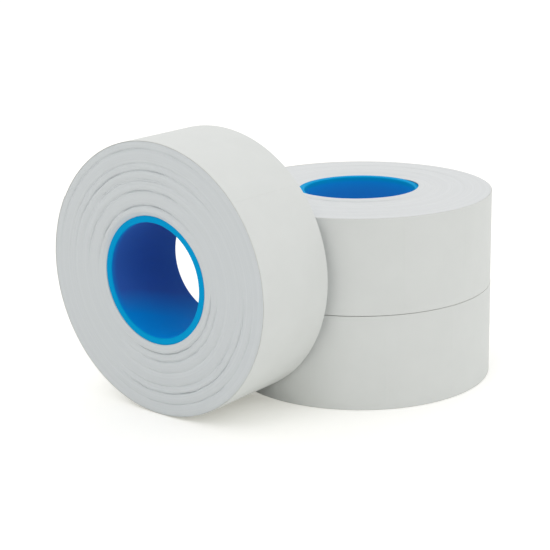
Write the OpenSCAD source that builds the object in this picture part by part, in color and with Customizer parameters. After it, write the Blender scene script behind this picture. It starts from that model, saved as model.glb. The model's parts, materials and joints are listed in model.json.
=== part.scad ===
// Rolls of labels for a hand-held price labelling gun: two rolls stacked flat and a third
// standing on its rim against the stack. Each roll is a web of labels on a siliconised
// backing paper (the liner), wound on a plastic core.
// Frame: +Z up, the origin at the centre of the stack's foot, on the table.
// Every roll is drawn round its own axis, Z, and centred on its width, then placed.

/* [Roll] */
// Width of the web, which is one label
web_w = 20.6; // [16:0.1:26]
// Outside diameter of a full roll
roll_d = 58.2; // [54:0.1:64]

/* [Core] */
// Bore that goes over the gun's label spindle
bore_d = 24.4; // [23:0.1:26]
// Wall of the core tube
core_wall = 1.4; // [0.8:0.1:1.8]
// How far each end of the core sits inside the web's edge
core_inset = 0.3; // [0:0.1:0.8]
// Chamfer on the core's four rims
core_chamfer = 0.25; // [0.1:0.05:0.3]

/* [Web] */
// Thickness of the liner
liner_t = 0.05; // [0.04:0.01:0.08]
// Thickness of a label
label_t = 0.06; // [0.05:0.01:0.1]
// Length of a label along the web
label_l = 15.9; // [12:0.1:18]
// Width of the knife cut between two labels
label_cut = 0.05; // [0.05:0.05:0.5]

/* [Tapes] */
// Thickness of both tapes
tape_t = 0.05; // [0.04:0.01:0.08]
// Width of the strip that holds the web's first end on the core
starter_w = 14; // [8:1:15]
// Length of the starter strip round the core
starter_l = 14; // [8:1:20]
// Width of the strip that holds the web's last end down
closing_w = 12; // [8:1:14]
// Length of the closing strip, half of it on each side of the web's end
closing_l = 18; // [12:1:24]

/* [Arrangement] */
// Turn of the standing roll about Z, 0 facing -Y
front_turn = -39.2; // [-60:0.1:-20]
// How far the standing roll sits to one side of the line from the stack's axis
front_aside = -15.9; // [-24:0.1:0]
// Clearance between the standing roll and the stack
front_gap = 0.35; // [0.2:0.05:1]
// Clearance between the two stacked rolls
stack_gap = 0.1; // [0.05:0.05:0.5]

/* [Hidden] */
$fn = 96;

plastic_blue = "#0b7fc4";
paper_white = "#e4e6e3";
liner_grey = "#cfd2cf";
tape_cream = "#e9e6d8";

roll_r = roll_d / 2;
core_r = bore_d / 2 + core_wall;

// Adhesive and air between two layers, which keeps neighbouring solids apart.
layer_gap = 0.01;
// One turn of web: liner, adhesive, label and the air over it. The web is a two-centre
// spiral, so the centre of each half turn's arc moves by half of this.
turn_t = liner_t + label_t + 2 * layer_gap;
half_step = turn_t / 2;
// Outside radius under the last turn.
wound_r = roll_r - turn_t;
// The starter strip's and the liner's inner radii.
on_core_r = core_r + layer_gap;
last_liner_r = wound_r + layer_gap;
// The web wanders sideways as it is wound, so rings of turns stand proud of the last turns,
// and sink by as much on the other face. Each ring starts at a share of the wound depth.
ring_starts = [0, 0.11, 0.30, 0.47, 0.63, 0.72, 0.84];
ring_shifts = [0.36, 0.10, 0.18, 0.06, 0.16, 0.05, 0];
// The outermost turns lie true. The spiral is drawn on them from here.
rings_end = 0.96;
spiral_start = 0.92;

label_angle = arc_angle(label_l + label_cut);
half_cut = arc_angle(label_cut / 2);
labels_on_last_turn = floor(360 / label_angle);
// Room at the peel line, where the web's end folds back.
peel_angle = label_angle + arc_angle(2 * turn_t);
// Clearance between two ends on one layer.
end_gap = arc_angle(layer_gap);
starter_angle = starter_l / core_r * 180 / PI;
closing_half = arc_angle(closing_l / 2);
// Width of the closing strip's step down over the web's end.
closing_step = arc_angle(1.5 * tape_t);

// How much each roll's web wanders, and where its last end lies.
lower_wander = 0.6;
upper_wander = 1.7;
front_wander = 0.5;
lower_end = 120;
upper_end = 65;
front_end = 150;

// The angle of a length on the outside of a roll.
function arc_angle(length) = length / roll_r * 180 / PI;

// The radius at a share of the wound depth.
function depth_r(share) = on_core_r + share * (wound_r - on_core_r);

module lower_place() {
    translate([0, 0, web_w / 2])
        rotate([0, 0, lower_end])
            children();
}

module upper_place() {
    translate([0, 0, 1.5 * web_w + stack_gap])
        rotate([0, 0, upper_end])
            children();
}

module front_place() {
    rotate([0, 0, front_turn])
        translate([front_aside, -(roll_r + front_gap + web_w / 2), roll_r])
            rotate([90, 0, 0])
                rotate([0, 0, front_end])
                    children();
}

// A band round the axis, from one angle to another.
module band(from, to, r, t, w) {
    rotate_extrude(start = from, angle = to - from)
        translate([r, -w / 2])
            square([t, w]);
}

// A band that winds inward as the angle grows. The web's last end is at 0, and r is the
// band's inner radius there. Both halves are swept from their shared end.
module wound_band(from, to, r, t, w) {
    if (from < 180)
        band(min(to, 180), from, r, t, w);
    if (to > 180)
        translate([-half_step, 0, 0])
            band(max(from, 180), to, r - half_step, t, w);
}

module core() {
    r = bore_d / 2;
    h = web_w / 2 - core_inset;
    color(plastic_blue)
        rotate_extrude()
            polygon([
                [r, core_chamfer - h],
                [r + core_chamfer, -h],
                [core_r - core_chamfer, -h],
                [core_r, core_chamfer - h],
                [core_r, h - core_chamfer],
                [core_r - core_chamfer, h],
                [r + core_chamfer, h],
                [r, h - core_chamfer]
            ]);
}

module starter_tape() {
    color(tape_cream)
        band(0, starter_angle, on_core_r, tape_t, starter_w);
}

// The hollow the starter strip presses into the first turns.
module starter_pocket() {
    band(-end_gap * 2, starter_angle + end_gap * 2,
         core_r, tape_t + 2 * layer_gap, starter_w + 2 * layer_gap);
}

// The wound turns in section, each ring with its own place along the axis.
module ring_section(wander) {
    last = len(ring_starts) - 1;
    ends = [for (i = [0 : last]) depth_r(i < last ? ring_starts[i + 1] : rings_end)];
    upper_edge = [
        for (i = [0 : last])
            for (r = [depth_r(ring_starts[i]), ends[i]])
                [r, web_w / 2 + wander * ring_shifts[i]]
    ];
    lower_edge = [
        for (i = [last : -1 : 0])
            for (r = [ends[i], depth_r(ring_starts[i])])
                [r, -web_w / 2 + wander * ring_shifts[i]]
    ];
    polygon(concat(upper_edge, lower_edge));
}

module windings(wander) {
    spiral_r = depth_r(spiral_start);
    color(paper_white)
        difference() {
            union() {
                rotate_extrude() ring_section(wander);
                wound_band(0, 360, spiral_r, wound_r - spiral_r, web_w);
            }
            starter_pocket();
        }
}

module outer_liner() {
    color(liner_grey)
        wound_band(peel_angle, 360 - end_gap, last_liner_r, liner_t, web_w);
}

// The part of one label that lies between two angles, counting labels from the web's end.
module one_label(i, from, to) {
    start = max(from, i * label_angle + half_cut);
    end = min(to, (i + 1) * label_angle - half_cut);
    wound_band(start, end, roll_r - label_t, label_t, web_w);
}

module outer_labels() {
    color(paper_white)
        for (i = [1 : labels_on_last_turn])
            one_label(i, peel_angle, 360 - end_gap);
}

module tail_liner() {
    color(liner_grey)
        wound_band(0, label_angle, last_liner_r, liner_t, web_w);
}

module tail_label() {
    color(paper_white)
        one_label(0, 0, label_angle);
}

// The strip lies on the web's end, steps down over it and lies on the turn below.
module closing_tape() {
    low_r = roll_r - half_step + layer_gap;
    color(tape_cream)
        union() {
            band(-closing_step, closing_half, roll_r + layer_gap, tape_t, closing_w);
            translate([-half_step, 0, 0]) {
                band(-closing_step, -end_gap, low_r, turn_t + tape_t / 2, closing_w);
                band(-closing_half, -end_gap, low_r, tape_t, closing_w);
            }
        }
}

lower_place() core();  // lower_core
lower_place() starter_tape();  // lower_starter_tape
lower_place() windings(lower_wander);  // lower_windings
lower_place() outer_liner();  // lower_outer_liner
lower_place() outer_labels();  // lower_outer_labels
lower_place() tail_liner();  // lower_tail_liner
lower_place() tail_label();  // lower_tail_label
lower_place() closing_tape();  // lower_closing_tape
upper_place() core();  // upper_core
upper_place() starter_tape();  // upper_starter_tape
upper_place() windings(upper_wander);  // upper_windings
upper_place() outer_liner();  // upper_outer_liner
upper_place() outer_labels();  // upper_outer_labels
upper_place() tail_liner();  // upper_tail_liner
upper_place() tail_label();  // upper_tail_label
upper_place() closing_tape();  // upper_closing_tape
front_place() core();  // front_core
front_place() starter_tape();  // front_starter_tape
front_place() windings(front_wander);  // front_windings
front_place() outer_liner();  // front_outer_liner
front_place() outer_labels();  // front_outer_labels
front_place() tail_liner();  // front_tail_liner
front_place() tail_label();  // front_tail_label
front_place() closing_tape();  // front_closing_tape
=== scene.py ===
"""Looks for a set of three rolls of price-gun labels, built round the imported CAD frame.

Each roll is a web of labels on a liner, wound on a blue core. In a roll's own coordinates
the axis is Z, the middle of the width is 0, and the web's last end is at angle 0, from
where the web winds inward as the angle grows. Z points up on the flat rolls, and out of
the face that shows on the standing one.
"""

import json
import math

import bpy
import numpy as np
from mathutils import Matrix, Vector


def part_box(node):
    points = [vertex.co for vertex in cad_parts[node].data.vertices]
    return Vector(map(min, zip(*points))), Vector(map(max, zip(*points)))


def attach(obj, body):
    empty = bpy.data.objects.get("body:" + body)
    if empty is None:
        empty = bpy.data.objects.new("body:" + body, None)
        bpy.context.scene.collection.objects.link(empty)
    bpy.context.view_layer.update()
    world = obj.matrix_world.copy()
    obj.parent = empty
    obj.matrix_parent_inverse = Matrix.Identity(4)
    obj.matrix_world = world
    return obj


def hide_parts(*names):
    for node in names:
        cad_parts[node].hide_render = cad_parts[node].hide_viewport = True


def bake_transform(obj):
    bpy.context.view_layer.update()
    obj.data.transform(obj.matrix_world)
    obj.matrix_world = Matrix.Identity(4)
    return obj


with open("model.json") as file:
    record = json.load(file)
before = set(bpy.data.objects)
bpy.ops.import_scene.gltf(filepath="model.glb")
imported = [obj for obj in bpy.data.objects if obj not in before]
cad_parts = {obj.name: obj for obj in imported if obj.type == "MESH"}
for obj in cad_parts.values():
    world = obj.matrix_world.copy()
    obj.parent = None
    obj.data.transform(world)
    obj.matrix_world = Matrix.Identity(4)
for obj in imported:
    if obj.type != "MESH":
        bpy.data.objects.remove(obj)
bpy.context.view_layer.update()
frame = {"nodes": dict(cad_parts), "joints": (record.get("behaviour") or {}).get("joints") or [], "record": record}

MM = 0.001
ROLLS = ("lower", "upper", "front")
# Where each web's last end is in the CAD, in degrees round its roll: from +X on the flat
# rolls, and from straight right, as its face is seen, on the standing one.
END_DEG = {"lower": 120, "upper": 65, "front": 150}
# How far along Z each core sits off the middle of its web.
CORE_SHIFT = {"lower": 0.0, "upper": 0.2 * MM, "front": 0.25 * MM}
JOINTS = {joint["name"]: joint for joint in frame["joints"]}
MOUNTS = {mount["name"]: mount for mount in frame["record"]["mounts"]}


# ---------------------------------------------------------------- the rolls' own frames


class Roll:
    """One roll's place in the set and its sizes, read from the CAD frame.

    The last turn's liner lies between the radii liner_in and liner_out, and its labels
    between label_in and outer_r. The turns below it fill wound_in to wound_out.
    """

    def __init__(self, name):
        self.name = name
        self.body = name + "_roll"
        self.tail_body = name + "_tail"
        peel = JOINTS[name + "_tail_peel"]
        self.axis = Vector(peel["axis"]).normalized()
        self.hinge = Vector(peel["pos_m"])
        low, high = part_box(name + "_core")
        self.centre = (low + high) / 2
        # first with X towards the peel line, then turned on to the web's end, a label away
        root = self.hinge - self.centre
        root = (root - self.axis * root.dot(self.axis)).normalized()
        turned = Matrix((root, self.axis.cross(root), self.axis)).transposed().to_4x4()
        self.place = Matrix.Translation(self.centre) @ turned
        _, (web_end, _), _ = self.measure("tail_liner")
        self.label_angle = -web_end
        self.place = self.place @ Matrix.Rotation(web_end, 4, "Z")

        self.bore_r = MOUNTS[name + "_bore"]["dims"]["r_mm"] * MM
        (_, self.core_r), _, (bottom, top) = self.measure("core")
        self.core_length = top - bottom
        self.core_shift = CORE_SHIFT[name]
        (self.liner_in, self.liner_out), _, (bottom, top) = self.measure("tail_liner")
        self.width = top - bottom
        (self.label_in, self.outer_r), _, _ = self.measure("tail_label")
        self.layer_gap = self.label_in - self.liner_out
        self.turn = self.outer_r - self.liner_in + self.layer_gap
        self.wound_in = self.core_r + self.layer_gap
        self.wound_out = self.outer_r - self.turn
        self.wander = self.measure("windings")[2][1] - self.width / 2

    def measure(self, piece):
        """The ranges of radius, angle and height of a CAD node in the roll's own frame."""
        back = np.array(self.place.inverted())
        mesh = frame["nodes"][self.name + "_" + piece].data
        points = np.empty(len(mesh.vertices) * 3)
        mesh.vertices.foreach_get("co", points)
        points = points.reshape(-1, 3) @ back[:3, :3].T + back[:3, 3]
        radius = np.hypot(points[:, 0], points[:, 1])
        angle = np.arctan2(points[:, 1], points[:, 0])
        return [(float(v.min()), float(v.max())) for v in (radius, angle, points[:, 2])]

    def inward(self, angle):
        """How far the two-centre spiral has wound inward at an angle."""
        angle = np.asarray(angle, float)
        return np.where(angle > math.pi, self.turn / 2 * (1 + np.cos(angle)), 0.0)


# ---------------------------------------------------------------- mesh building


# Edges that turn by more than this stay sharp.
SHARP = math.radians(40)


def smoothstep(low, high, value):
    """0 at low, 1 at high, and a smooth step between; low may be the larger of the two."""
    t = np.clip((value - low) / (high - low), 0, 1)
    return t * t * (3 - 2 * t)


def ring_points(radius, angle, height):
    """Points of a profile swept round the axis, with one row of the grids for each angle."""
    turned = angle[:, None]
    points = np.stack((radius * np.cos(turned), radius * np.sin(turned), height), axis=-1)
    return points.reshape(-1, 3)


def ring_faces(columns, rows, closed):
    """The quads between the columns of a swept grid. closed joins the last to the first."""
    c = np.arange(columns if closed else columns - 1)[:, None]
    r = np.arange(rows)[None, :]
    c_next, r_next = (c + 1) % columns, (r + 1) % rows
    corners = (c * rows + r, c_next * rows + r, c_next * rows + r_next, c * rows + r_next)
    return np.stack(np.broadcast_arrays(*corners), axis=-1).reshape(-1, 4).tolist()


def swept(radius, angle, height, closed=False):
    """Points and faces of a solid swept round the axis, with flat ends unless it is closed.

    radius and height have one row for each angle and one column for each profile point.
    The profile runs anticlockwise, with the radius to the right and the axis up.
    """
    columns, rows = radius.shape
    faces = ring_faces(columns, rows, closed)
    if not closed:
        last = (columns - 1) * rows
        faces.append(list(range(rows)))
        faces.append(list(range(last, last + rows))[::-1])
    return ring_points(radius, angle, height), faces


def merged(parts):
    """Several (points, faces) as one."""
    points, faces, count = [], [], 0
    for part_points, part_faces in parts:
        points.append(part_points)
        faces += [[i + count for i in face] for face in part_faces]
        count += len(part_points)
    return np.concatenate(points), faces


def add_piece(roll, name, node, solid, material):
    """A piece that stands for one of the roll's CAD nodes.

    The solid is in the roll's own coordinates, which its shader also reads.
    """
    points, faces = solid
    mesh = bpy.data.meshes.new(f"{roll.name}_{name}")
    mesh.from_pydata(points.tolist(), [], faces)
    own = mesh.attributes.new("own", "FLOAT_VECTOR", "POINT")
    own.data.foreach_set("vector", points.astype(np.float32).ravel())
    mesh.transform(roll.place)
    mesh.validate()
    mesh.shade_smooth()
    mesh.set_sharp_from_angle(angle=SHARP)
    mesh.materials.append(material)
    piece = bpy.data.objects.new(mesh.name, mesh)
    bpy.context.scene.collection.objects.link(piece)
    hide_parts(f"{roll.name}_{node}")
    return piece


def steps(start, end, step):
    """Even angles from start to end, no further apart than step."""
    return np.linspace(start, end, max(2, math.ceil((end - start) / step) + 1))


# ---------------------------------------------------------------- core


# Roundings of the core's rims, at the bore and at the outside, and the points of each.
LEAD_IN, OUTER_ROUND = 0.3 * MM, 0.12 * MM
RIM_STEPS = 8
CORE_SIDES = 216


def core_profile(roll):
    """The tube's section, with its rims moulded round."""
    half = roll.core_length / 2
    corners = [
        (roll.core_r, half, OUTER_ROUND),
        (roll.bore_r, half, LEAD_IN),
        (roll.bore_r, -half, LEAD_IN),
        (roll.core_r, -half, OUTER_ROUND),
    ]
    profile = []
    for i, (r, z, size) in enumerate(corners):
        centre_r = r - size if r > roll.bore_r else r + size
        centre_z = z - math.copysign(size, z)
        for k in range(RIM_STEPS + 1):
            t = math.radians(90 * (i + k / RIM_STEPS))
            profile.append((centre_r + size * math.cos(t), centre_z + size * math.sin(t)))
    return np.array(profile)


def core(roll, material):
    """The blue tube that the web is wound on."""
    profile = core_profile(roll)
    around = np.linspace(0, 2 * math.pi, CORE_SIDES, endpoint=False)
    radius = np.tile(profile[:, 0], (CORE_SIDES, 1))
    height = np.tile(profile[:, 1] + roll.core_shift, (CORE_SIDES, 1))
    solid = swept(radius, around, height, closed=True)
    piece = add_piece(roll, "core_tube", "core", solid, material)
    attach(piece, roll.body)


# ---------------------------------------------------------------- wound web

# The rings of turns that stand proud, as in the CAD: where each starts, as a share of the
# wound depth, and how far it stands out, as a share of the first.
RINGS = ((0, 1.0), (0.11, 0.28), (0.30, 0.5), (0.47, 0.17), (0.63, 0.44), (0.72, 0.14), (0.84, 0))
# How softly one ring passes into the next, as a share of the wound depth, where the turns
# lie close and where they have opened up.
CLOSE_EDGE, OPEN_EDGE = 0.1, 0.012
# Gaps between opened turns: share of the wound depth, depth in millimetres, and how many
# times wider than the narrowest. UPPER_GAPS are for the side of a face that the camera sees
# higher up, LOWER_GAPS for the other.
UPPER_GAPS = ((0.135, 0.34, 1.1), (0.335, 0.27, 1.5), (0.465, 0.12, 1), (0.488, 0.10, 1),
              (0.605, 0.28, 1.1), (0.705, 0.10, 2), (0.892, 0.2, 1.5))
LOWER_GAPS = ((0.122, 0.31, 1.1), (0.238, 0.22, 1.9), (0.390, 0.12, 1.5), (0.580, 0.2, 1.7),
              (0.680, 0.28, 1.1), (0.832, 0.16, 1.2))
# Half the width of the narrowest gap, as a share of the wound depth, and how much of it the
# deep part takes up.
GAP_WIDTH, GAP_CUT = 0.010, 0.8
# How a gap's depth changes round the face: its mean and its spread.
GAP_MEAN, GAP_SPREAD = 0.8, 0.35
# Rows of points across the wound depth: even ones, some near the core and the outside, and
# some round each gap, in multiples of half its width. Closer than ROW_SPACE, one is enough.
EVEN_ROWS = 60
CORNER_ROWS = [0.004, 0.01, 0.022, 0.99, 0.995]
GAP_ROWS = (-1.7, -1.1, -0.6, 0.0, 0.6, 1.1, 1.7)
ROW_SPACE = GAP_WIDTH / 5
WEB_SIDES = 288
# How far opened turns swell out between two gaps that are at least FULL_RING apart, and how
# much each ring's swell may lean to one side, as a power.
SWELL = 0.2 * MM
FULL_RING = 0.14
SWELL_LEAN = (0.55, 1.6)
# The lip round the bore, as shares of the wound depth: where the dip inside it ends, where
# it is highest, from where it falls, and its foot.
LIP_DIP, LIP_TOP, LIP_FALL, LIP_FOOT = 0.05, 0.07, 0.08, 0.15
# How far out turns are that have sunk or lean, as shares of the wound depth.
SUNK_REACH, LEAN_REACH = 0.25, 0.06
# How far the whole face waves along the axis, and each row of turns strays from it.
FACE_WAVE, ROW_STRAY = 0.008 * MM, 0.003 * MM
# How far the turns wave out of round everywhere, and slide round in an opened sector, as
# shares of the wound depth.
ROUND_WAVE, ROUND_SLIDE = 0.0035, 0.014
# Waves in a ripple, and the most that one's phase changes from the core to the outside.
RIPPLE_WAVES, RIPPLE_SLANT = 7, 14
# Where the turns begin to follow the spiral of the outside, as a share of the wound depth.
SPIRAL_START = 0.9
# How far the corners turn over at the outside and at the core, and over what share.
OUTER_CORNER, OUTER_SHARE = 0.06 * MM, 0.015
INNER_CORNER, INNER_SHARE = 0.08 * MM, 0.02
# How far the rings of the other face stand out, as a share of those of the face with +Z.
OTHER_FACE = 0.7
# Room over the starter tape, at its ends, and above the core's rim.
TAPE_ROOM, TAPE_END_ROOM, RIM_ROOM = 0.02 * MM, 0.2 * MM, 0.02 * MM
# Points closer together than this are one.
SAME_POINT = 1e-7
# How much of a sector's reach has moved fully.
FULL_PART = 0.3


class Sector:
    """A part of a roll's face where the turns have moved. Its centre is counted as END_DEG is.

    With strength from 0 to 1 they have opened up into rings between the gaps, and a lip
    round the bore stands out by mouth. The turns near the core have sunk by sunk, and those
    next to it lean in over its rim by lean.
    """

    def __init__(
        self, roll_name, centre_deg, reach_deg,
        gaps=(), strength=0.0, mouth=0.0, sunk=0.0, lean=0.0,
    ):
        self.centre = math.radians(centre_deg - END_DEG[roll_name])
        self.reach = math.radians(reach_deg)
        self.gaps = gaps
        self.strength = strength
        self.mouth = mouth
        self.sunk = sunk
        self.lean = lean

    def off(self, angle):
        """The angle from the sector's centre, as a share of its reach."""
        return ((angle - self.centre + math.pi) % (2 * math.pi) - math.pi) / self.reach

    def window(self, angle):
        """1 round the middle of the sector and 0 beyond its reach, as a column."""
        return smoothstep(1, FULL_PART, np.abs(self.off(angle)))[:, None]


def ripple(angle, share, seed, fewest, most):
    """Random waves over the face, nearly all from -1 to 1, with fewest to most round it."""
    random = np.random.RandomState(seed)
    total = np.zeros((len(angle), len(share)))
    for _ in range(RIPPLE_WAVES):
        around = random.randint(fewest, most + 1)
        across = random.uniform(-RIPPLE_SLANT, RIPPLE_SLANT)
        phase = random.uniform(0, 2 * math.pi)
        total += np.cos(around * angle[:, None] + across * share + phase)
    return total / math.sqrt(RIPPLE_WAVES)


def ring_rows(sectors):
    """Shares of the wound depth to put rows of points at, closer together round the gaps."""
    rows = list(np.linspace(0, 1, EVEN_ROWS)) + CORNER_ROWS
    for sector in sectors:
        for share, _, width in sector.gaps:
            rows += [share + GAP_WIDTH * width * k for k in GAP_ROWS]
    rows = np.array(sorted(rows))
    rows = rows[np.concatenate(([True], np.diff(rows) > ROW_SPACE))]
    rows[-1] = 1
    return rows


def ring_height(share, edge):
    """How proud the rings stand at a share of the wound depth, as a share of the first."""
    height = np.full_like(share, RINGS[0][1])
    for (_, before), (start, after) in zip(RINGS, RINGS[1:]):
        height += (after - before) * smoothstep(start - edge, start + edge, share)
    return height


def relief(roll, share, angle, sectors, seed):
    """Shift of both faces along the axis, and how far each stands out, over the face."""
    opened = np.zeros((len(angle), 1))
    proud = np.zeros((len(angle), len(share)))
    patchy = GAP_MEAN + GAP_SPREAD * ripple(angle, share, seed + 5, 4, 25)
    skew = np.random.RandomState(seed + 9)
    lip = smoothstep(0, LIP_TOP, share) * smoothstep(LIP_FOOT, LIP_FALL, share)
    lip = lip - smoothstep(LIP_DIP, 0, share)
    for sector in sectors:
        strength = sector.window(angle) * sector.strength
        opened = np.maximum(opened, strength)
        edges = [0.0] + [gap for gap, _, _ in sector.gaps] + [1.0]
        for low, high in zip(edges, edges[1:]):
            across = np.clip((share - low) / (high - low), 0, 1) ** skew.uniform(*SWELL_LEAN)
            swell = SWELL * min(1, (high - low) / FULL_RING)
            proud += strength * swell * np.sin(math.pi * across)
        for gap, depth, width in sector.gaps:
            off = (share - gap) / (GAP_WIDTH * width * GAP_CUT)
            proud -= strength * patchy * depth * MM * np.exp(-(off**2))
        proud += strength * sector.mouth * lip
        proud -= sector.window(angle) * sector.sunk * smoothstep(SUNK_REACH, 0, share)
    close, parted = ring_height(share, CLOSE_EDGE), ring_height(share, OPEN_EDGE)
    shift = roll.wander * (close + (parted - close) * opened)
    shift = shift + FACE_WAVE * ripple(angle, share, seed + 1, 1, 3)
    shift = shift + ROW_STRAY * np.random.RandomState(seed).uniform(-1, 1, len(share))
    return shift, proud


def drift(share, angle, sectors, seed):
    """How far the turns have moved out of round, as a share of the wound depth."""
    moved = ROUND_WAVE * ripple(angle, share, seed + 2, 5, 29)
    for sector in sectors:
        off = np.clip(sector.off(angle), -1, 1)[:, None]
        moved = moved - sector.window(angle) * sector.strength * ROUND_SLIDE * off
    return moved * np.sin(math.pi * share) ** 0.5


def web_section(roll, share, angle, sectors, seed):
    """The wound web's section at each angle, as grids of radius and height."""
    shift, proud = relief(roll, share, angle, sectors, seed)
    moved = drift(share, angle, sectors, seed)
    shift[-1], proud[-1], moved[-1] = shift[0], proud[0], moved[0]
    depth = roll.wound_out - roll.wound_in
    radius = roll.wound_in + depth * (share + moved)
    radius = radius - roll.inward(angle)[:, None] * smoothstep(SPIRAL_START, 1, share)
    radius[-1] = np.where(share > SPIRAL_START, radius[-1], radius[0])
    lean = sum(sector.window(angle) * sector.lean for sector in sectors)
    lean = lean * smoothstep(LEAN_REACH, 0, share)
    corner = OUTER_CORNER * smoothstep(1 - OUTER_SHARE, 1, share)
    corner = corner + INNER_CORNER * smoothstep(INNER_SHARE, 0, share)
    top = roll.width / 2 + shift + proud - corner
    bottom = -roll.width / 2 + shift - proud * OTHER_FACE + corner

    # the inside: down past the core's rim, in and out of a pocket for the starter tape
    (_, tape_r), _, (_, tape_top) = roll.measure("starter_tape")
    pocket_r, pocket_top = tape_r + TAPE_ROOM, tape_top + TAPE_END_ROOM
    rim = roll.core_length / 2 + roll.core_shift + RIM_ROOM
    inside = [(roll.wound_in, rim), (roll.wound_in, pocket_top), (pocket_r, pocket_top),
              (pocket_r, -pocket_top), (roll.wound_in, -pocket_top)]
    inside_r = np.tile([r for r, _ in inside], (len(angle), 1))
    inside_z = np.tile([z for _, z in inside], (len(angle), 1))
    inside_z[:, 0] = np.minimum(rim, top[:, 0] - roll.layer_gap)
    section_r = np.concatenate(((radius - lean)[:, ::-1], inside_r, radius), axis=1)
    section_z = np.concatenate((top[:, ::-1], inside_z, bottom), axis=1)
    return section_r, section_z


def joined_round(points, columns, rows):
    """Points and faces of a swept grid whose last column lies on the first.

    Points that differ, at the step on the outside of the spiral, have faces between them.
    """
    last = (columns - 1) * rows
    meets = np.linalg.norm(points[:rows] - points[last:], axis=1) < SAME_POINT
    same = {last + i: i for i in range(rows) if meets[i]}
    grid = ring_faces(columns, rows, closed=False)
    for i in range(rows):
        j = (i + 1) % rows
        grid.append([i, j, last + j, last + i])
    faces = []
    for face in grid:
        face = [same.get(i, i) for i in face]
        face = [i for n, i in enumerate(face) if i != face[n - 1]]
        if len(face) > 2:
            faces.append(face)
    used = np.unique([i for face in faces for i in face])
    number = {int(old): new for new, old in enumerate(used)}
    return points[used], [[number[i] for i in face] for face in faces]


def wound_web(roll, sectors, seed, material):
    """The wound turns, with both faces' rings, the gaps between them and the spiral outside."""
    share = ring_rows(sectors)
    angle = np.linspace(0, 2 * math.pi, WEB_SIDES + 1)
    radius, height = web_section(roll, share, angle, sectors, seed)
    solid = joined_round(ring_points(radius, angle, height), *radius.shape)
    piece = add_piece(roll, "wound_web", "windings", solid, material)
    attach(piece, roll.body)


# ---------------------------------------------------------------- the last turn and its tail

# The knife cut between two labels, and how much narrower a label is than its liner.
LABEL_CUT, LABEL_INSET = 0.006 * MM, 0.08 * MM
# The gap between the two ends of the last turn, in radians.
END_GAP = 0.0003
# How far the last turn wanders along the axis, and the angle where it stands farthest up.
SWAY = {
    "lower": (0.02 * MM, math.radians(-5 - END_DEG["lower"])),
    "upper": (0.07 * MM, math.radians(175 - END_DEG["upper"])),
    "front": (0.02 * MM, 0.0),
}
# How long the tail's bend next to the peel line is, and the tape's slope down to the turn
# below, with the points on it.
BEND, BRIDGE = 4.5 * MM, 0.5 * MM
BRIDGE_POINTS = 8
# Angles between the points of a band and of a tape, and a band's bevel, as a share of its
# thickness.
BAND_STEP, TAPE_STEP = math.radians(1.5), math.radians(1)
BEVEL = 0.25


def band(roll, start, end, r_in, r_out, width):
    """A thin curved plate on the spiral, with its long edges just broken."""
    angle = steps(start, end, BAND_STEP)
    half = width / 2
    bevel = (r_out - r_in) * BEVEL
    section = [
        (r_out, half - bevel), (r_out - bevel, half), (r_in + bevel, half), (r_in, half - bevel),
        (r_in, bevel - half), (r_in + bevel, -half), (r_out - bevel, -half), (r_out, bevel - half),
    ]
    radius = np.array([r for r, _ in section]) - roll.inward(angle)[:, None]
    sway, highest = SWAY[roll.name]
    height = np.array([z for _, z in section]) + sway * np.cos(angle[:, None] - highest)
    return swept(radius, angle, height)


def label_ends(roll, index):
    """The angles where a label starts and ends. Label 0 is the tail's."""
    cut = LABEL_CUT / roll.outer_r / 2
    return index * roll.label_angle + cut, (index + 1) * roll.label_angle - cut


def last_turn(roll, liner_paper, label_paper):
    """The rest of the last turn: its liner in one piece, and its labels cut apart."""
    full = 2 * math.pi - END_GAP
    liner = band(roll, roll.label_angle, full, roll.liner_in, roll.liner_out, roll.width)
    plates = []
    for index in range(1, math.ceil(2 * math.pi / roll.label_angle)):
        start, end = label_ends(roll, index)
        end = min(end, full)
        plates.append(band(roll, start, end, roll.label_in, roll.outer_r, roll.width - LABEL_INSET))
    for part, solid, material, slot in (
        ("liner", liner, liner_paper, "liner_paper"),
        ("labels", merged(plates), label_paper, "label_paper"),
    ):
        piece = add_piece(roll, "last_turn_" + part, "outer_" + part, solid, material)
        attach(piece, roll.body)


def tail(roll, liner_paper, label_paper):
    """The web's free end: its liner and its first label, on the spiral."""
    liner = band(roll, 0, roll.label_angle, roll.liner_in, roll.liner_out, roll.width)
    _, end = label_ends(roll, 0)
    label = band(roll, 0, end, roll.label_in, roll.outer_r, roll.width - LABEL_INSET)
    for part, solid, material, slot in (
        ("liner", liner, liner_paper, "liner_paper"),
        ("label", label, label_paper, "label_paper"),
    ):
        piece = add_piece(roll, "tail_end_" + part, "tail_" + part, solid, material)
        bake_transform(piece)


def closing_tape(roll, material):
    """The strip over the web's end, which slopes down to the turn below."""
    (_, r_out), (start, end), (z_low, z_high) = roll.measure("closing_tape")
    thick = r_out - roll.outer_r - roll.layer_gap
    slope = BRIDGE / roll.outer_r
    on_slope = np.linspace(-slope, 0, BRIDGE_POINTS)
    angle = np.sort(np.concatenate((steps(start, end, TAPE_STEP), on_slope)))
    below = roll.outer_r - roll.inward(2 * math.pi + np.minimum(angle, 0)) + roll.layer_gap
    lift = smoothstep(-slope, -2 * END_GAP, angle)
    base = below + (roll.outer_r + roll.layer_gap - below) * lift
    half = (z_high - z_low) / 2
    section = [(thick, half), (0, half), (0, -half), (thick, -half)]
    radius = base[:, None] + np.array([r for r, _ in section])
    height = np.tile([z for _, z in section], (len(angle), 1))
    solid = swept(radius, angle, height)
    piece = add_piece(roll, "end_tape", "closing_tape", solid, material)
    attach(piece, roll.tail_body)


# ---------------------------------------------------------------- materials

# The painted glow of the cores' rims: the lighter blue they are painted, and the colour of the emission that
# stands in for light let through the plastic.
PAINTED_RIM_BLUE, PAINTED_RIM_GLOW_COLOUR = (0.0, 0.29, 0.625), (0, 0.9, 1)
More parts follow.
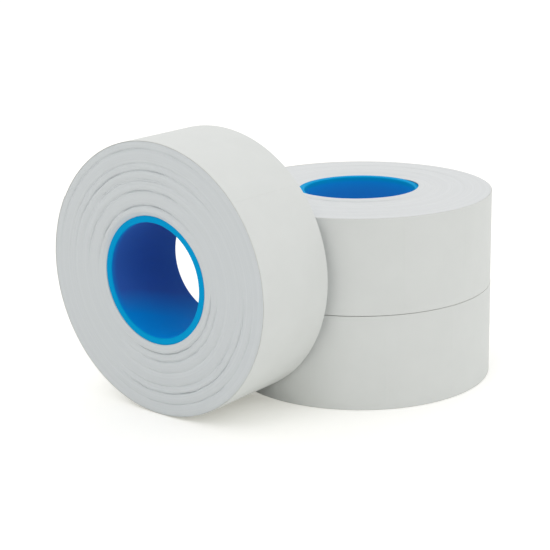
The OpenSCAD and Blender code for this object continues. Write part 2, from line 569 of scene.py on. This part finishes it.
# How far below the rim the painted glow, and above it the painted brighter blue, begin to fade.
GLOW_START, LIT_START = 0.05 * MM, -1 * MM
# How far up a bore's wall has to face, from 0 to 1, to begin to take the painted brighter blue
# and to take it fully, and how much further up it seems to face at the rim on the +Z side.
LIT_FROM, LIT_TO, LIT_RIM = 0.5, 0.92, 0.2
# How much the blues are clouded, and how brightly the rims' painted glow shines.
CLOUDING, PAINTED_RIM_GLOW_STRENGTH = 0.12, 0.05
# The labels on the turn below, which show where the tail is peeled open.
LABEL_BELOW = (0.725, 0.73, 0.71)
# How much of a turn's shade is its own, how much it shares with a group, and groups a turn.
OWN_SHADE, GROUP_SHADE, GROUPS_A_TURN = 0.35, 0.65, 0.16
# How squarely the web has to face along its axis to begin to show slit edges, and to show
# nothing else.
EDGES_FROM, EDGES_TO = 0.1, 0.3
# How sharp the grooves between the turns are, and how much the turns differ in height.
GROOVE_POWER, UNEVEN = 6, 0.7
# Heights of the materials' bumps.
MOULD_GRAIN, TAPE_GRAIN = 0.01 * MM, 0.01 * MM
TURN_RELIEF = 0.012 * MM
LABEL_GRAIN, LINER_GRAIN = 0.012 * MM, 0.006 * MM


class Nodes:
    """A small wrapper that makes the nodes of a material or a world shorter to write."""

    def __init__(self, block, shader="Principled BSDF"):
        block.use_nodes = True
        self.block = block
        self.tree = block.node_tree
        self.shader = self.tree.nodes[shader]

    def add(self, kind, inputs=None, **settings):
        node = self.tree.nodes.new(kind)
        for key, value in settings.items():
            setattr(node, key, value)
        for key, value in (inputs or {}).items():
            self.put(node, key, value)
        return node

    def put(self, node, key, value):
        """Link an input to a socket, or set it to a value. Colours are given as RGB."""
        entry = node.inputs[key]
        if isinstance(value, bpy.types.NodeSocket):
            self.tree.links.new(value, entry)
        else:
            entry.default_value = (*value, 1) if entry.type == "RGBA" else value

    def set(self, **inputs):
        """Set inputs of the shader itself."""
        for key, value in inputs.items():
            self.put(self.shader, key.replace("_", " "), value)

    def math(self, operation, a, b=0.0):
        return self.add("ShaderNodeMath", {0: a, 1: b}, operation=operation).outputs[0]

    def dot(self, a, b):
        node = self.add("ShaderNodeVectorMath", {0: a, 1: b}, operation="DOT_PRODUCT")
        return node.outputs["Value"]

    def split(self, vector):
        """The X, Y and Z of a vector."""
        return self.add("ShaderNodeSeparateXYZ", {0: vector}).outputs

    def own(self):
        """The point in the roll's own frame."""
        return self.add("ShaderNodeAttribute", attribute_name="own").outputs["Vector"]

    def normal(self):
        return self.add("ShaderNodeNewGeometry").outputs["Normal"]

    def seen(self):
        """1 to the camera and 0 to everything else."""
        return self.add("ShaderNodeLightPath").outputs["Is Camera Ray"]

    def map_range(self, value, low, high, to_low=0.0, to_high=1.0, shape="LINEAR"):
        """to_low where the value is at low, turning into to_high where it is at high."""
        inputs = {"Value": value, "From Min": low, "From Max": high}
        inputs.update({"To Min": to_low, "To Max": to_high})
        return self.add("ShaderNodeMapRange", inputs, interpolation_type=shape).outputs[0]

    def noise(self, vector, scale, detail=2.0, roughness=0.5):
        """Cloudy noise, with about scale lumps a metre."""
        inputs = {"Vector": vector, "Scale": scale, "Detail": detail, "Roughness": roughness}
        return self.add("ShaderNodeTexNoise", inputs).outputs["Fac"]

    def ramp(self, value, start, first, end, last):
        """The first colour where the value is at start, turning into the last one at end."""
        node = self.add("ShaderNodeValToRGB", {"Fac": value})
        for element, position, colour in zip(node.color_ramp.elements, (start, end), (first, last)):
            element.position = position
            element.color = (*colour, 1)
        return node.outputs["Color"]

    def blend(self, share, first, last):
        """The first colour, turning into the last one as share goes from 0 to 1."""
        return self.add("ShaderNodeMix", {0: share, 6: first, 7: last}, data_type="RGBA").outputs[2]

    def bump(self, height, distance, strength=0.5):
        inputs = {"Height": height, "Distance": distance, "Strength": strength}
        return self.add("ShaderNodeBump", inputs).outputs["Normal"]


def core_plastic(roll, painted_shade_blue, painted_lit_blue, painted_glow_depth, painted_lit_depth):
    """Blue moulded plastic that lets a little light through; that light, and the shade in the bore,
    are painted into its colour.

    The bore is painted a shaded blue, turning into a brighter blue, as painted light, on walls
    that face up and, down to a given depth, next to the rim on the +Z side. Both rims have a
    painted glow, in colour and in emission, down to a given depth.
    """
    n = Nodes(bpy.data.materials.new(roll.name + "_core_plastic"))
    own = n.own()
    half = roll.core_length / 2
    z = n.math("SUBTRACT", n.split(own)[2], roll.core_shift)

    def near_rim(height, start, end):
        """1 up to start below the rim, fading to 0 at end below it."""
        below = n.math("SUBTRACT", half, height)
        return n.map_range(below, start, end, 1.0, 0.0, "SMOOTHERSTEP")

    # painted glow: the rims are painted a lighter blue and made to glow, fading below them
    glow = near_rim(n.math("ABSOLUTE", z), GLOW_START, painted_glow_depth)
    # painted light and shade: walls that face up, and the +Z rim, take the brighter blue; the rest of the bore
    # takes the shaded blue
    up = n.math("ADD", n.split(n.normal())[2], n.math("MULTIPLY", z, LIT_RIM / half))
    cloud = n.math("MULTIPLY", n.math("SUBTRACT", n.noise(own, scale=90, detail=3), 0.5), CLOUDING)
    inside = n.ramp(n.math("ADD", up, cloud), LIT_FROM, painted_shade_blue, LIT_TO, painted_lit_blue)
    # painted light next to the rim on the +Z side
    inside = n.blend(near_rim(z, LIT_START, painted_lit_depth), inside, painted_lit_blue)
    # the rims' painted glow blue, laid over the bore's painted light and shade
    colour = n.blend(n.math("ADD", glow, cloud), inside, PAINTED_RIM_BLUE)
    n.set(Base_Color=colour, Roughness=0.6, Specular_IOR_Level=0.03)
    # emission of the rims' painted glow; the rims are no lamp
    n.set(Emission_Color=PAINTED_RIM_GLOW_COLOUR, Emission_Strength=n.math("MULTIPLY", glow, PAINTED_RIM_GLOW_STRENGTH))
    n.set(Normal=n.bump(n.noise(own, scale=2600, detail=3), MOULD_GRAIN))
    return n.block


def wound_paper(roll, dark, light):
    """The slit edges of the wound turns, each a shade of its own, with the liner between.

    Round the outside it is the turn below's labels that show, once the tail is peeled open.
    """
    n = Nodes(bpy.data.materials.new(roll.name + "_wound_paper"))
    x, y, _ = n.split(n.own())
    radius = n.math("SQRT", n.math("ADD", n.math("MULTIPLY", x, x), n.math("MULTIPLY", y, y)))
    turn = n.math("DIVIDE", radius, roll.turn)
    each = n.add("ShaderNodeTexWhiteNoise", {"W": n.math("FLOOR", turn)}, noise_dimensions="1D")
    each = each.outputs["Value"]
    groups = {"W": n.math("MULTIPLY", turn, GROUPS_A_TURN), "Scale": 1.0, "Detail": 2.0}
    groups = n.add("ShaderNodeTexNoise", groups, noise_dimensions="1D").outputs["Fac"]
    own_shade = n.math("MULTIPLY", each, OWN_SHADE)
    group_shade = n.math("MULTIPLY", groups, GROUP_SHADE)
    # the darkest and lightest greys come per roll and carry painted light: lighter and darker copies of one paper
    edges = n.ramp(n.math("ADD", own_shade, group_shade), 0.2, dark, 0.8, light)
    along = n.math("ABSOLUTE", n.dot(n.normal(), roll.axis))
    colour = n.blend(n.map_range(along, EDGES_FROM, EDGES_TO), LABEL_BELOW, edges)
    off_middle = n.math("ABSOLUTE", n.math("SUBTRACT", n.math("FRACT", turn), 0.5))
    groove = n.math("POWER", n.math("MULTIPLY", off_middle, 2), GROOVE_POWER)
    height = n.math("SUBTRACT", n.math("MULTIPLY", each, UNEVEN), groove)
    n.set(Base_Color=colour, Roughness=0.75, Specular_IOR_Level=0.25)
    n.set(Normal=n.bump(height, TURN_RELIEF, 0.6))
    return n.block


def paper(name, light, dark, roughness, grain):
    """Paper that is faintly cloudy from dark to light, with fibres as high as grain."""
    n = Nodes(bpy.data.materials.new(name))
    own = n.own()
    cloud = n.noise(own, scale=140, detail=4, roughness=0.6)
    fibres = n.noise(own, scale=5200, detail=4, roughness=0.7)
    colour = n.ramp(cloud, 0.35, dark, 0.65, light)
    n.set(Base_Color=colour, Roughness=roughness, Specular_IOR_Level=0.3)
    n.set(Normal=n.bump(fibres, grain))
    return n.block


def tape_film():
    """Thin film with a matte back, a little yellow, that lets most of the paper show."""
    n = Nodes(bpy.data.materials.new("tape_film"))
    own = n.own()
    cloud = n.noise(own, scale=300, detail=3)
    colour = n.ramp(cloud, 0.3, (0.8, 0.78, 0.66), 0.7, (0.84, 0.82, 0.71))
    n.set(Base_Color=colour, Roughness=0.3, Alpha=0.4)
    n.set(Normal=n.bump(n.noise(own, scale=3000), TAPE_GRAIN))
    return n.block


# ---------------------------------------------------------------- stage, light and camera

# The floor's half size, and how far it lies below the rolls.
FLOOR_REACH, FLOOR_DROP = 6.0, 0.03 * MM
FLOOR_WHITE = (0.77, 0.77, 0.79)
# The light from within the floor, as it falls on the rolls and as the camera sees it. What the
# camera sees of it is a painted fill that keeps the floor's shadows light and a little warm.
FLOOR_LIGHT, FLOOR_PAINTED_FILL = (0.357, 0.36, 0.295), (0.36, 0.355, 0.31)
# How near something has to be to dim the floor's own light, and how much it takes: a painted contact shadow on the
# floor, and less light given off from there.
SHADE_REACH, SHADE = 10 * MM, 0.17
# The share of its light that the floor gives off, and how open it has to be for that.
FLOOR_GIVES, OPEN_ENOUGH = 0.6, 0.45
# The side of the room that is bright, how far towards it the room is dimmest and brightest,
# and how bright it is there.
BRIGHT_SIDE = (0.6, 1.0, 1.2)
DIM_AT, BRIGHT_AT = -1.0, 0.5
DIMMEST, BRIGHTEST = 0.26, 1.02
# The key lamp: where it stands and points, its width and its power.
LAMP_AT, LAMP_AIM = Vector((-0.3, -0.5, 0.7)), Vector((0, 0, 0.02))
LAMP_WIDTH, LAMP_WATTS = 0.4, 0.8
# The camera: where it stands, its lens and sensor, and its tilt down and roll in degrees.
CAMERA_AT = Vector((-19.1, -316.6, 112.0)) * MM
LENS, SENSOR = 95.8, 36.0
TILT_DEG, ROLL_DEG = 15.93, -1.22


def floor_material():
    """A white table that gives light itself. As the camera sees it, that light is a painted fill
    that keeps the table's shadows light.

    Anything but the camera gets a share of that light, and less from under a roll. Near a roll the
    glow also dims as the camera sees it: a painted contact shadow.
    """
    n = Nodes(bpy.data.materials.new("floor"))
    seen = n.seen()
    distance = {"Distance": SHADE_REACH}
    open_above = n.add("ShaderNodeAmbientOcclusion", distance, samples=8).outputs["AO"]
    given = n.map_range(open_above, 0.0, OPEN_ENOUGH, 0.0, FLOOR_GIVES)
    # painted contact shadow: the floor's glow dims where something is near
    glow = n.math("ADD", 1 - SHADE, n.math("MULTIPLY", open_above, SHADE))
    n.set(Base_Color=FLOOR_WHITE, Roughness=0.9, Specular_IOR_Level=0.05)
    # painted fill: the camera sees the floor's own glow, which lightens and warms its shadows
    n.set(Emission_Color=n.blend(seen, FLOOR_LIGHT, FLOOR_PAINTED_FILL))
    n.set(Emission_Strength=n.math("MULTIPLY", n.math("MAXIMUM", seen, given), glow))
    return n.block


def stage_floor():
    mesh = bpy.data.meshes.new("floor")
    corners = [(-1, -1), (1, -1), (1, 1), (-1, 1)]
    corners = [(x * FLOOR_REACH, y * FLOOR_REACH, -FLOOR_DROP) for x, y in corners]
    mesh.from_pydata(corners, [], [(0, 1, 2, 3)])
    mesh.materials.append(floor_material())
    floor = bpy.data.objects.new("floor", mesh)
    bpy.context.scene.collection.objects.link(floor)


def studio_world():
    """A white room, bright above and behind, and dim low down on the camera's side.

    The camera itself sees it white all round.
    """
    n = Nodes(bpy.data.worlds.new("studio"), "Background")
    direction = n.add("ShaderNodeTexCoord").outputs["Generated"]
    towards = n.dot(direction, BRIGHT_SIDE)
    brightness = n.map_range(towards, DIM_AT, BRIGHT_AT, DIMMEST, BRIGHTEST)
    n.set(Color=(1, 1, 1), Strength=n.math("MAXIMUM", n.seen(), brightness))
    bpy.context.scene.world = n.block


def key_lamp():
    light = bpy.data.lights.new("key", "AREA")
    light.shape = "DISK"
    light.size = LAMP_WIDTH
    light.energy = LAMP_WATTS
    lamp = bpy.data.objects.new("key", light)
    lamp.location = LAMP_AT
    lamp.rotation_euler = (LAMP_AIM - LAMP_AT).to_track_quat("-Z", "Y").to_euler()
    bpy.context.scene.collection.objects.link(lamp)


def camera():
    data = bpy.data.cameras.new("camera")
    data.sensor_width = SENSOR
    data.lens = LENS
    data.clip_start = 0.01
    data.clip_end = 50
    eye = bpy.data.objects.new("camera", data)
    tilt = Matrix.Rotation(math.radians(90 - TILT_DEG), 4, "X")
    roll_over = Matrix.Rotation(math.radians(ROLL_DEG), 4, "Z")
    eye.matrix_world = Matrix.Translation(CAMERA_AT) @ tilt @ roll_over
    bpy.context.scene.collection.objects.link(eye)
    bpy.context.scene.camera = eye


# ---------------------------------------------------------------- the scene

# Painted blues of each core: its painted shade in the bore and its painted brighter blue, and how
# far down its rims take the painted glow and the brighter blue. The cores are one plastic; these
# blues differ from roll to roll as brighter and darker copies painted for the light on each.
PAINTED_CORE_BLUES = {
    "front": {"painted_shade_blue": (0.042, 0.14, 0.5), "painted_lit_blue": (0.0, 0.28, 0.77),
              "painted_glow_depth": 0.35 * MM, "painted_lit_depth": 2.2 * MM},
    "upper": {"painted_shade_blue": (0.02, 0.28, 0.76), "painted_lit_blue": (0.0, 0.34, 0.85),
              "painted_glow_depth": 1.6 * MM, "painted_lit_depth": 4.5 * MM},
    "lower": {"painted_shade_blue": (0.012, 0.22, 0.62), "painted_lit_blue": (0.0, 0.27, 0.7),
              "painted_glow_depth": 0.35 * MM, "painted_lit_depth": 2.2 * MM},
}
# Darkest and lightest turns of the slit edges on each roll. Within a roll the turns differ at
# random; between the rolls, which are one paper, the greys are lighter and darker copies painted
# for the light on each face, the upper roll's top lightest.
EDGE_GREYS_WITH_PAINTED_LIGHT = {
    "front": {"dark": (0.65, 0.678, 0.69), "light": (0.684, 0.712, 0.724)},
    "upper": {"dark": (0.69, 0.705, 0.708), "light": (0.725, 0.74, 0.745)},
    "lower": {"dark": (0.66, 0.68, 0.69), "light": (0.69, 0.71, 0.72)},
}
SECTORS = {
    "front": [
        Sector("front", 112, 82, gaps=UPPER_GAPS, strength=1.0, mouth=0.28 * MM),
        Sector("front", 300, 80, gaps=LOWER_GAPS, strength=1.0),
        Sector("front", 0, 70, sunk=0.35 * MM),
    ],
    "upper": [
        Sector("upper", -100, 70, gaps=LOWER_GAPS, strength=0.3),
        Sector("upper", 60, 70, gaps=UPPER_GAPS, strength=0.2),
        Sector("upper", 105, 125, sunk=0.85 * MM),
        Sector("upper", -45, 110, lean=0.6 * MM),
    ],
    "lower": [
        Sector("lower", 60, 70, gaps=UPPER_GAPS, strength=0.3),
        Sector("lower", 240, 70, gaps=LOWER_GAPS, strength=0.3),
    ],
}

labels = paper("label_paper", (0.729, 0.745, 0.727), (0.715, 0.731, 0.713), 0.62, LABEL_GRAIN)
glassine = paper("liner_paper", (0.70, 0.70, 0.66), (0.68, 0.68, 0.64), 0.4, LINER_GRAIN)
film = tape_film()

for number, name in enumerate(ROLLS):
    roll = Roll(name)
    core(roll, core_plastic(roll, **PAINTED_CORE_BLUES[name]))
    wound_web(roll, SECTORS[name], 10 * number + 3, wound_paper(roll, **EDGE_GREYS_WITH_PAINTED_LIGHT[name]))
    last_turn(roll, glassine, labels)
    tail(roll, glassine, labels)
    closing_tape(roll, film)
    starter = frame["nodes"][name + "_starter_tape"]
    starter.material_slots[0].material = film

stage_floor()
studio_world()
key_lamp()
camera()
bpy.context.scene.view_settings.view_transform = "Standard"
